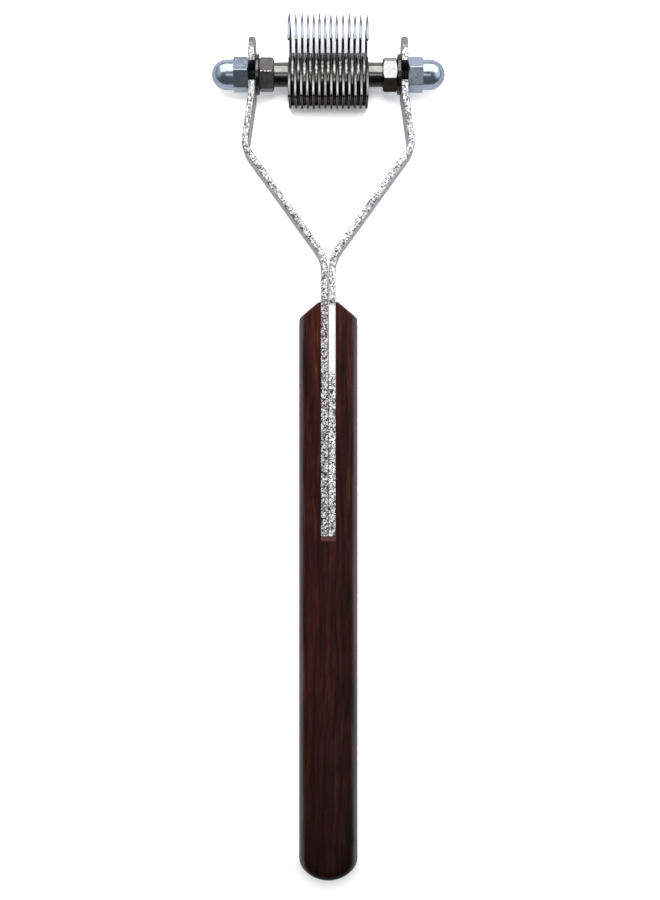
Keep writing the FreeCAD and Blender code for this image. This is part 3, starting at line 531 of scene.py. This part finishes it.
MATERIALS = {
    "handle_wood": wood(),
    "filler_wood": filler(),
    # painted light and shade: both strips are one steel, the left copy made darker and the right copy
    # lighter
    "left_strip": strip("strip_steel_shaded", tone=0.90, inside_tone=0.66, smooth_patch=False),
    "right_strip": strip("strip_steel_lit", tone=1.12, inside_tone=0.85, smooth_patch=True),
    "cap_nut_zinc": zinc(),
    # painted light and shade: both lock nuts are one steel, the left copy made dark with painted highlight
    # spots, the right copy light with painted shade towards the handle
    "lock_left": steel(
        "lock_nut_steel_shaded", dark=(0.058, 0.054, 0.053), light=(0.105, 0.100, 0.098),
        rough=(0.13, 0.24), metallic=0.55, painted_sheen=(0.86, 0.87, 0.86),
    ),
    "lock_right": steel(
        "lock_nut_steel_lit", dark=(0.34, 0.345, 0.34), light=(0.46, 0.47, 0.46),
        rough=(0.14, 0.26), stain=(0.20, 0.11, 0.05), painted_shade=(0.050, 0.036, 0.030),
    ),
    "washer": steel(
        "washer_steel", dark=(0.045, 0.043, 0.043), light=(0.21, 0.205, 0.20),
        rough=(0.16, 0.28), stain=(0.07, 0.05, 0.045),
    ),
    "bush_steel": steel(
        "bush_steel", dark=(0.21, 0.205, 0.20), light=(0.31, 0.31, 0.30),
        rough=(0.14, 0.22), turned=0.6, painted_shade=(0.045, 0.042, 0.040),
    ),
    "spacer_steel": spacer(),
    "rod_steel": steel(
        "rod_steel", dark=(0.060, 0.052, 0.042), light=(0.14, 0.125, 0.105),
        rough=(0.25, 0.42), stain=(0.06, 0.04, 0.02),
    ),
    "pin_brass": brass(),
    "blade_flank": flank(),
    "blade_hook": hook(),
    "blade_hub": hub_edge(),
    # painted shade: the back edges, which face away from the light, get a near-black steel
    "blade_back": steel(
        "blade_back_edge", dark=(0.034, 0.031, 0.029), light=(0.065, 0.059, 0.055),
        rough=(0.30, 0.45), bump=0.006, edge=0.42,
    ),
    # painted shade: the inner edges of the hooks, which lie in shade deep between the blades, get a
    # near-black steel
    "blade_inner": steel(
        "blade_inner_edge", dark=(0.045, 0.045, 0.055), light=(0.12, 0.12, 0.14),
        rough=(0.25, 0.40), bump=0.006,
    ),
}


def dress(node, material):
    """Gives a CAD node its material, in each of its material slots."""
    mesh = NODES[node].data
    if not mesh.materials:
        mesh.materials.append(MATERIALS[material])
    for i in range(len(mesh.materials)):
        mesh.materials[i] = MATERIALS[material]


dress("handle", "handle_wood")
dress("slot_filler", "filler_wood")
for side in ("left", "right"):
    dress(side + "_arm", side + "_strip")
    dress(side + "_cap_nut", "cap_nut_zinc")
    dress(side + "_washer", "washer")
    dress(side + "_bush", "bush_steel")
    dress(side + "_lock_nut", "lock_" + side)
for node in ("front_handle_pin", "rear_handle_pin"):
    dress(node, "pin_brass")
for node in NODES:
    if node.startswith("spacer_"):
        dress(node, "spacer_steel")


def place_piece(mesh, sharp_angle, node):
    """Shades a mesh smooth and puts it in place of a CAD node of the blade cartridge."""
    mesh.polygons.foreach_set("use_smooth", np.ones(len(mesh.polygons), bool))
    mesh.set_sharp_from_angle(angle=math.radians(sharp_angle))
    mesh.update()
    piece = bpy.data.objects.new(mesh.name, mesh)
    bpy.context.scene.collection.objects.link(piece)
    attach(piece, "blade_cartridge")
    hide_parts(node)


# ---------------------------------------------------------------------------------------------
# Axle: a helical thread. Rows of points follow the helix, so its crests and roots stay crisp.
# ---------------------------------------------------------------------------------------------
THREAD_PITCH = 0.7
CREST, ROOT = 2.0, 1.62  # radii
MIDDLE = (CREST + ROOT) / 2
# share of the pitch, radius
THREAD_PROFILE = [
    (0.00, CREST), (0.10, CREST), (0.30, MIDDLE), (0.46, ROOT), (0.56, ROOT), (0.76, MIDDLE),
]
THREAD_AROUND = 28
CHAMFER_LENGTH, CHAMFER_SLOPE = 0.5, 0.9


def make_axle():
    half = axle_high.x / MM
    turns = int(half / THREAD_PITCH) + 3
    rows = [
        ((k + share) * THREAD_PITCH, radius)
        for k in range(-turns, turns + 1)
        for share, radius in THREAD_PROFILE
    ]
    bm = bmesh.new()
    grid = []
    for start, row_radius in rows:
        line = []
        for j in range(THREAD_AROUND):
            angle = 2 * math.pi * j / THREAD_AROUND
            x = start + THREAD_PITCH * j / THREAD_AROUND
            over = abs(x) - (half - CHAMFER_LENGTH)
            radius = min(row_radius, CREST - CHAMFER_SLOPE * over) if over > 0 else row_radius
            y = AXLE.y + radius * math.cos(angle) * MM
            z = AXLE.z + radius * math.sin(angle) * MM
            line.append(bm.verts.new((x * MM, y, z)))
        grid.append(line)
    # after one turn, a row meets the start of the row one pitch further along
    step = len(THREAD_PROFILE)
    for i in range(len(rows) - 1 - step):
        for j in range(THREAD_AROUND):
            k, near = (j + 1, i) if j + 1 < THREAD_AROUND else (0, i + step)
            bm.faces.new((grid[i][j], grid[i + 1][j], grid[near + 1][k], grid[near][k]))
    for sign in (-1, 1):
        bmesh.ops.bisect_plane(
            bm,
            geom=bm.verts[:] + bm.edges[:] + bm.faces[:],
            dist=1e-8,
            plane_co=(sign * half * MM, 0, 0),
            plane_no=(sign, 0, 0),
            clear_outer=True,
        )
    bmesh.ops.delete(bm, geom=[v for v in bm.verts if not v.link_faces], context="VERTS")
    bmesh.ops.holes_fill(bm, edges=[e for e in bm.edges if e.is_boundary], sides=0)
    bmesh.ops.recalc_face_normals(bm, faces=bm.faces[:])
    if any(len(e.link_faces) != 2 for e in bm.edges):
        raise RuntimeError("the thread isn't closed")
    mesh = bpy.data.meshes.new("axle_thread")
    bm.to_mesh(mesh)
    bm.free()
    mesh.materials.append(MATERIALS["rod_steel"])
    place_piece(mesh, 60, "axle")


make_axle()


# ---------------------------------------------------------------------------------------------
# Blades: the outline is read from a CAD blade, then the hook is ground thinner towards its outer
# edge, the teeth are ground sharp, and the hub's rim is rounded. The plan is in millimetres from
# the axle, along Y and Z.
# ---------------------------------------------------------------------------------------------
# places on the rim, anticlockwise
BELLY = (0.3, -9.75)
TIP_OUTER = (6.7, 9.85)
TIP_INNER = (5.62, 9.15)
THROAT = (3.85, 0.6)
HORN = (-6.45, 8.45)
# the stretches of rim between them; the back runs from the horn to the belly
OUTER, POINT, INNER, HUB, BACK = range(5)

BLADE_MATERIALS = ["blade_flank", "blade_hook", "blade_hub", "blade_inner", "blade_back"]
FLANK_SLOT, HOOK_SLOT, HUB_SLOT, INNER_SLOT, BACK_SLOT = range(5)
RIM_SLOTS = {
    OUTER: HOOK_SLOT, POINT: HOOK_SLOT, INNER: INNER_SLOT, HUB: HUB_SLOT, BACK: BACK_SLOT,
}

RIM_STEP, HOLE_STEP = 0.32, 0.45  # longest edges
# distance in from the rim, and every how many rim points, for the rows that carry the bevels
OFFSET_ROWS = [(0.07, 1), (0.15, 1), (0.34, 2), (0.62, 2)]
GRID_SPACING, GRID_MARGIN = 0.52, 0.85
CROWD_CELL, CROWD_GAP = 0.12, 0.055
HOLE_RADIUS = 2.0
OFFSET_CLEAR, GRID_CLEAR = 2.3, 2.5  # least distances from the axle

# each blade's lean of the hook along X (mm), reach of the hook along Y (mm), turn (degrees)
BLADES = [
    (-0.08, 0.08, 0.0), (0.22, -0.04, 0.9), (0.31, 0.02, -0.5), (0.29, -0.04, 0.6),
    (0.17, -0.11, -0.8), (0.07, 0.02, 0.3), (-0.06, -0.11, 0.8), (-0.16, -0.11, -0.4),
    (-0.19, -0.25, 0.5), (-0.10, -0.11, 0.2), (0.0, -0.10, -0.6), (-0.12, -0.16, 0.7),
    (-0.23, -0.36, -0.3), (-0.04, -0.26, 0.4),
]


def smoothstep(start, end, value):
    t = np.clip((value - start) / (end - start), 0.0, 1.0)
    return t * t * (3 - 2 * t)


def lerp(start, end, share):
    return start + (end - start) * share


def length(points):
    return np.linalg.norm(points, axis=1)


def outline_loops(node):
    """The closed loops that bound the node's flat +X side, longest first."""
    mesh = NODES[node].data
    places = np.zeros(len(mesh.vertices) * 3)
    mesh.vertices.foreach_get("co", places)
    places = places.reshape(-1, 3)
    top = places[:, 0].max()
    found = {}  # vertices at the same place share a number
    ids = [found.setdefault((round(y * 1e7), round(z * 1e7)), len(found)) for y, z in places[:, 1:]]
    flat = np.array(list(found), float) * 1e-7
    edges = {}
    for polygon in mesh.polygons:
        corners = list(polygon.vertices)
        if all(abs(places[v, 0] - top) < 2e-6 for v in corners):
            for i, j in zip(corners, corners[1:] + corners[:1]):
                edges[ids[i], ids[j]] = True
    follow = {i: j for i, j in edges if (j, i) not in edges}
    loops = []
    while follow:
        loop, at = [], next(iter(follow))
        while at in follow:
            loop.append(at)
            at = follow.pop(at)
        loops.append((flat[loop] - np.array([AXLE.y, AXLE.z])) * 1000)
    loops.sort(key=len, reverse=True)
    return loops


def signed_area(loop):
    after = np.roll(loop, -1, 0)
    return 0.5 * float(np.sum(loop[:, 0] * after[:, 1] - after[:, 0] * loop[:, 1]))


def densify(loop, longest):
    out = []
    for start, end in zip(loop, np.roll(loop, -1, 0)):
        count = max(1, int(math.ceil(np.linalg.norm(end - start) / longest)))
        for k in range(count):
            out.append(start + (end - start) * k / count)
    return np.array(out)


def distance_to(points, starts, ends):
    """Least distance from each point to the segments."""
    best = np.full(len(points), 1e9)
    for start, end in zip(starts, ends):
        span = end - start
        t = np.clip(((points - start) @ span) / max(span @ span, 1e-12), 0, 1)
        best = np.minimum(best, length(points - (start + t[:, None] * span)))
    return best


def inside(points, loop):
    y, z = points[:, 0], points[:, 1]
    odd = np.zeros(len(points), bool)
    for (y0, z0), (y1, z1) in zip(loop, np.roll(loop, -1, 0)):
        if z0 != z1:
            odd ^= ((z0 > z) != (z1 > z)) & (y < (y1 - y0) * (z - z0) / (z1 - z0) + y0)
    return odd


def split_rim(rim):
    """The rim, starting at the belly, and the kind of each of its segments."""

    def nearest(place):
        return int(np.argmin(length(rim - np.array(place))))

    rim = np.roll(rim, -nearest(BELLY), 0)
    tip_outer, tip_inner, throat, horn = map(nearest, (TIP_OUTER, TIP_INNER, THROAT, HORN))
    kind = np.full(len(rim), BACK)
    kind[:tip_outer] = OUTER
    kind[tip_outer:tip_inner] = POINT
    kind[tip_inner:throat] = INNER
    kind[throat:horn] = HUB
    return rim, kind


def inner_points(rim, ends):
    """Points within the rim: rows that follow it, and a triangular grid in the middle."""
    tangent = ends - np.roll(rim, 1, 0)
    tangent /= length(tangent)[:, None]
    inward = np.stack([-tangent[:, 1], tangent[:, 0]], 1)
    points = []
    for away, step in OFFSET_ROWS:
        row = rim[::step] + inward[::step] * away
        clear = distance_to(row, rim, ends) > away * 0.93
        points.append(row[clear & inside(row, rim) & (length(row) > OFFSET_CLEAR)])
    low, high = rim.min(0), rim.max(0)
    grid = []
    for j in range(int((high[1] - low[1]) / (GRID_SPACING * 0.866)) + 1):
        z = low[1] + j * GRID_SPACING * 0.866
        y = np.arange(low[0] + (GRID_SPACING / 2 if j % 2 else 0), high[0], GRID_SPACING)
        grid.append(np.stack([y, np.full(len(y), z)], 1))
    grid = np.concatenate(grid)
    clear = distance_to(grid, rim, ends) > GRID_MARGIN
    points.append(grid[clear & inside(grid, rim) & (length(grid) > GRID_CLEAR)])
    return np.concatenate(points)


def thin_out(points):
    """Leaves out points that crowd earlier ones."""
    keep, cells = [], {}
    around = [(i, j) for i in (-1, 0, 1) for j in (-1, 0, 1)]
    for i, point in enumerate(points):
        row, column = (int(math.floor(c / CROWD_CELL)) for c in point)
        near = [points[k] for dr, dc in around for k in cells.get((row + dr, column + dc), [])]
        if all(np.linalg.norm(point - other) > CROWD_GAP for other in near):
            cells.setdefault((row, column), []).append(i)
            keep.append(i)
    return points[keep]


def triangulate(flat, rim, hole_count):
    """Anticlockwise triangles between the rim and the hole."""
    n, m = len(rim), hole_count
    edges = [(i, (i + 1) % n) for i in range(n)] + [(n + i, n + (i + 1) % m) for i in range(m)]
    made = geometry.delaunay_2d_cdt([Vector(p) for p in flat], edges, [], 0, 1e-6)
    if len(made[0]) != len(flat):
        raise RuntimeError("the blade's points changed while they were joined up")
    triangles = np.array([t for t in made[2] if len(t) == 3])
    centres = flat[triangles].mean(1)
    triangles = triangles[inside(centres, rim) & (length(centres) > HOLE_RADIUS)]
    corners = flat[triangles]
    first, second = corners[:, 1] - corners[:, 0], corners[:, 2] - corners[:, 0]
    clockwise = first[:, 0] * second[:, 1] - first[:, 1] * second[:, 0] < 0
    triangles[clockwise] = triangles[clockwise][:, ::-1]
    return triangles


def grind(flat, rim, ends, kind):
    """Half the thickness at each point, and whether it lies on the hook's ground bevel."""
    y, z = flat[:, 0], flat[:, 1]
    full = 0.275 + 0.045 * smoothstep(2.0, 8.0, z) * smoothstep(4.6, 5.6, y)

    def from_rim(wanted):
        return distance_to(flat, rim[kind == wanted], ends[kind == wanted])

    from_outer, from_inner, from_point = from_rim(OUTER), from_rim(INNER), from_rim(POINT)
    from_hub = np.minimum(from_rim(HUB), from_rim(BACK))
    # the long bevel outside the hook
    ground = smoothstep(-6.0, -1.5, z) * (1 - smoothstep(4.0, 8.6, z))
    edge = lerp(0.17, 0.075, ground) + 0.07 * smoothstep(6.5, 9.0, z)
    width = lerp(0.24, 2.5, ground)
    rise = np.sqrt(np.clip(from_outer / width, 0, 1)) ** 1.3
    half = np.minimum(full, lerp(edge, full, rise))
    # the teeth
    toothed = smoothstep(-5.0, -2.0, z)
    edge = lerp(0.16, 0.05, toothed)
    width = lerp(0.20, 0.62, toothed)
    half = np.minimum(half, lerp(edge, full, np.clip(from_inner / width, 0, 1)))
    # the rounded rim of the hub and back
    rise = np.sqrt(1 - (1 - np.clip(from_hub / 0.17, 0, 1)) ** 2)
    half = np.minimum(half, lerp(0.12, full, rise))
    # the point
    half = np.minimum(half, lerp(0.20, full, np.clip(from_point / 0.12, 0, 1)))
    return half, (from_outer < 2.3) & (ground > 0.25) & (from_inner > 0.45)


def blade_plan():
    """Shared by all the blades: flat points, triangles, the number of points in the hole, the
    kinds of the rim's segments, half thickness and bevel."""
    loops = outline_loops("blade_07")
    rim, hole = densify(loops[0], RIM_STEP), densify(loops[1], HOLE_STEP)
    if signed_area(rim) < 0:
        rim = rim[::-1]
    if signed_area(hole) > 0:
        hole = hole[::-1]
    rim, kind = split_rim(rim)
    ends = np.roll(rim, -1, 0)
    flat = np.concatenate([rim, hole, thin_out(inner_points(rim, ends))])
    triangles = triangulate(flat, rim, len(hole))
    return flat, triangles, len(hole), kind, *grind(flat, rim, ends, kind)


def make_blade(name, plan, lean, reach, turn):
    flat, triangles, hole_count, kind, half, bevel = plan
    middle = box_middle_x(name)
    y, z = flat[:, 0], flat[:, 1]
    # the lean grows round the hook towards its point
    around = np.degrees(np.arctan2(z - 0.5, y - 4.2))
    on_hook = (around > -80) & (around < 90)
    lean = lean * np.where(on_hook, ((around + 80) / 165).clip(0, 1) ** 1.5, 0.0)
    reached = y + reach * smoothstep(5.0, 13.0, y)
    angle = math.radians(turn)
    turned_y = reached * math.cos(angle) - z * math.sin(angle)
    turned_z = reached * math.sin(angle) + z * math.cos(angle)
    count = len(flat)
    verts = [
        (
            (middle + lean[i] + sign * half[i]) * MM,
            AXLE.y + turned_y[i] * MM,
            AXLE.z + turned_z[i] * MM,
        )
        for sign in (1, -1)
        for i in range(count)
    ]
    faces, slots = [], []
    for triangle in triangles:
        top = tuple(int(i) for i in triangle)
        faces += [top, tuple(i + count for i in reversed(top))]
        slots += [HOOK_SLOT if bevel[list(top)].all() else FLANK_SLOT] * 2
    rim_count = len(kind)
    for i in range(rim_count):
        j = (i + 1) % rim_count
        faces.append((i, i + count, j + count, j))
        slot = RIM_SLOTS[int(kind[i])]
        # the outer edge isn't ground low on the belly
        slots.append(BACK_SLOT if slot == HOOK_SLOT and z[i] < -3.0 else slot)
    for i in range(hole_count):
        near, far = rim_count + i, rim_count + (i + 1) % hole_count
        faces.append((near, near + count, far + count, far))
        slots.append(FLANK_SLOT)
    mesh = bpy.data.meshes.new(name + "_ground")
    mesh.from_pydata(verts, [], faces)
    mesh.validate()
    for material in BLADE_MATERIALS:
        mesh.materials.append(MATERIALS[material])
    mesh.polygons.foreach_set("material_index", np.array(slots, np.int32))
    place_piece(mesh, 38, name)


shared_plan = blade_plan()
for number, (lean, reach, turn) in enumerate(BLADES, 1):
    make_blade("blade_%02d" % number, shared_plan, lean, reach, turn)

# ---------------------------------------------------------------------------------------------
# Floor, light and camera, in metres
# ---------------------------------------------------------------------------------------------
scene = bpy.context.scene
FLOOR_REACH, FLOOR_DROP = 3.0, 0.00003
KEY_PLACE, KEY_SIZE, KEY_POWER = (0.0, 0.155, 0.90), 0.30, 5.8
CAMERA_HEIGHT = 0.400  # above the axle


def paper():
    """White paper. The camera sees it brightly lit; other rays see it as a duller surface, so
    that the metal doesn't wash out."""
    material = bpy.data.materials.new("floor_paper")
    mat = Graph(material, "ShaderNodeOutputMaterial")
    grain = mat.mm(0.05).noise(detail=2.0)
    # darker just beyond the handle's -Y end, so that the end's shadow shows
    where = mat.mm().split()
    shade = where["Y"].ease(-89.0, -97.0) * where["Y"].ease(-150.0, -115.0)
    shade = shade * abs(where["X"]).ease(60.0, 25.0, to=(0.0, 0.47))
    light = 1.0 - shade
    bright = grain.fit(0.3, 0.7).mix((1.66, 1.66, 1.66), (1.71, 1.71, 1.71)).scaled(light)
    seen = mat.add("BsdfDiffuse", {"Color": bright})
    dull = mat.add("BsdfDiffuse", {"Color": (0.465, 0.465, 0.490)})
    camera_ray = mat.add("LightPath", {}, "Is Camera Ray")
    mat.finish_with(mat.add("MixShader", {0: camera_ray, 1: dull, 2: seen}))
    return material


def make_floor():
    material = paper()
    mesh = bpy.data.meshes.new("floor")
    corners = [(x * FLOOR_REACH, y * FLOOR_REACH, 0) for x, y in ((-1, -1), (1, -1), (1, 1), (-1, 1))]
    mesh.from_pydata(corners, [], [(0, 1, 2, 3)])
    mesh.materials.append(material)
    floor = bpy.data.objects.new("floor", mesh)
    floor.location.z = -FLOOR_DROP
    scene.collection.objects.link(floor)


def make_world():
    """Soft lights for reflections, a plain room for matt surfaces, white for the camera."""
    world = bpy.data.worlds.new("studio")
    scene.world = world
    sky = Graph(world, "ShaderNodeOutputWorld")
    camera_ray = sky.add("LightPath", {}, "Is Camera Ray")
    direction = sky.add("TexCoord", {}, "Generated")
    x, y, z = (direction.split()[axis] for axis in "XYZ")

    def lobe(towards, outer, inner, strength):
        """A round light that fades between two angles (degrees) from its direction."""
        centre = tuple(Vector(towards).normalized())
        closeness = direction.vector("DOT_PRODUCT", centre, output="Value")
        limits = (math.cos(math.radians(angle)) for angle in (outer, inner))
        return closeness.ease(*limits, to=(0.0, strength))

    horizon = z.ease(math.sin(math.radians(3)), math.sin(math.radians(12)))
    # large soft box beyond the blades: from 13 to 79 degrees off the zenith, a little wider on
    # the right
    lean = y.math("ARCTAN2", z) * (180 / math.pi)
    flat = (y * y + z * z).math("SQRT")
    side = x.math("ARCTAN2", flat) * (180 / math.pi)
    box = lean.ease(11.0, 16.0) * lean.ease(75.0, 81.0, to=(1.0, 0.0))
    box = box * side.ease(-48.0, -34.0) * side.ease(44.0, 62.0, to=(1.0, 0.0)) * 2.2
    total = box + y.ease(-0.5, 0.3, to=(0.06, 0.18)) * horizon
    total = total + lobe((0.95, 0.10, 0.45), outer=40, inner=18, strength=0.95) * horizon
    total = total + lobe((-0.90, 0.25, 0.45), outer=40, inner=18, strength=0.45) * horizon
    # opening round the camera
    total = total + lobe((0.0, -0.21, 1.0), outer=9, inner=5, strength=1.2)
    # the room's own light, which softens the shadows: only matt surfaces gather it
    room = z.at_least(0.0) ** 3.0 * 0.70 + 0.255
    room = (room + y * 0.16).at_least(0.0)
    room_share = 1.0
    matt = camera_ray.sibling("Is Diffuse Ray") * room_share
    strength = total * (1.0 - matt) + room * matt
    lit = sky.add("Background", {"Color": (0.985, 0.99, 1.0), "Strength": strength})
    plain = sky.add("Background", {"Color": (1.0, 1.0, 1.0), "Strength": 1.0})
    sky.finish_with(sky.add("MixShader", {0: camera_ray, 1: lit, 2: plain}))


def make_key_light():
    data = bpy.data.lights.new("key", "AREA")
    data.shape = "DISK"
    data.size = KEY_SIZE
    data.energy = KEY_POWER
    light = bpy.data.objects.new("key", data)
    light.location = KEY_PLACE
    light.rotation_mode = "QUATERNION"
    light.rotation_quaternion = (-Vector(KEY_PLACE)).to_track_quat("-Z", "Y")
    light.visible_glossy = False
    scene.collection.objects.link(light)


def make_camera():
    """Looks straight down."""
    data = bpy.data.cameras.new("camera")
    data.sensor_width = 36.0
    data.lens = 72.0
    data.clip_start, data.clip_end = 0.01, 20.0
    camera = bpy.data.objects.new("camera", data)
    camera.location = (0.37 * MM, -0.78 * MM, AXLE.z + CAMERA_HEIGHT)
    scene.collection.objects.link(camera)
    scene.camera = camera


make_floor()
make_world()
make_key_light()
make_camera()

scene.view_settings.view_transform = "Standard"
scene.view_settings.look = "None"
scene.view_settings.exposure = 0.0
scene.view_settings.gamma = 1.0
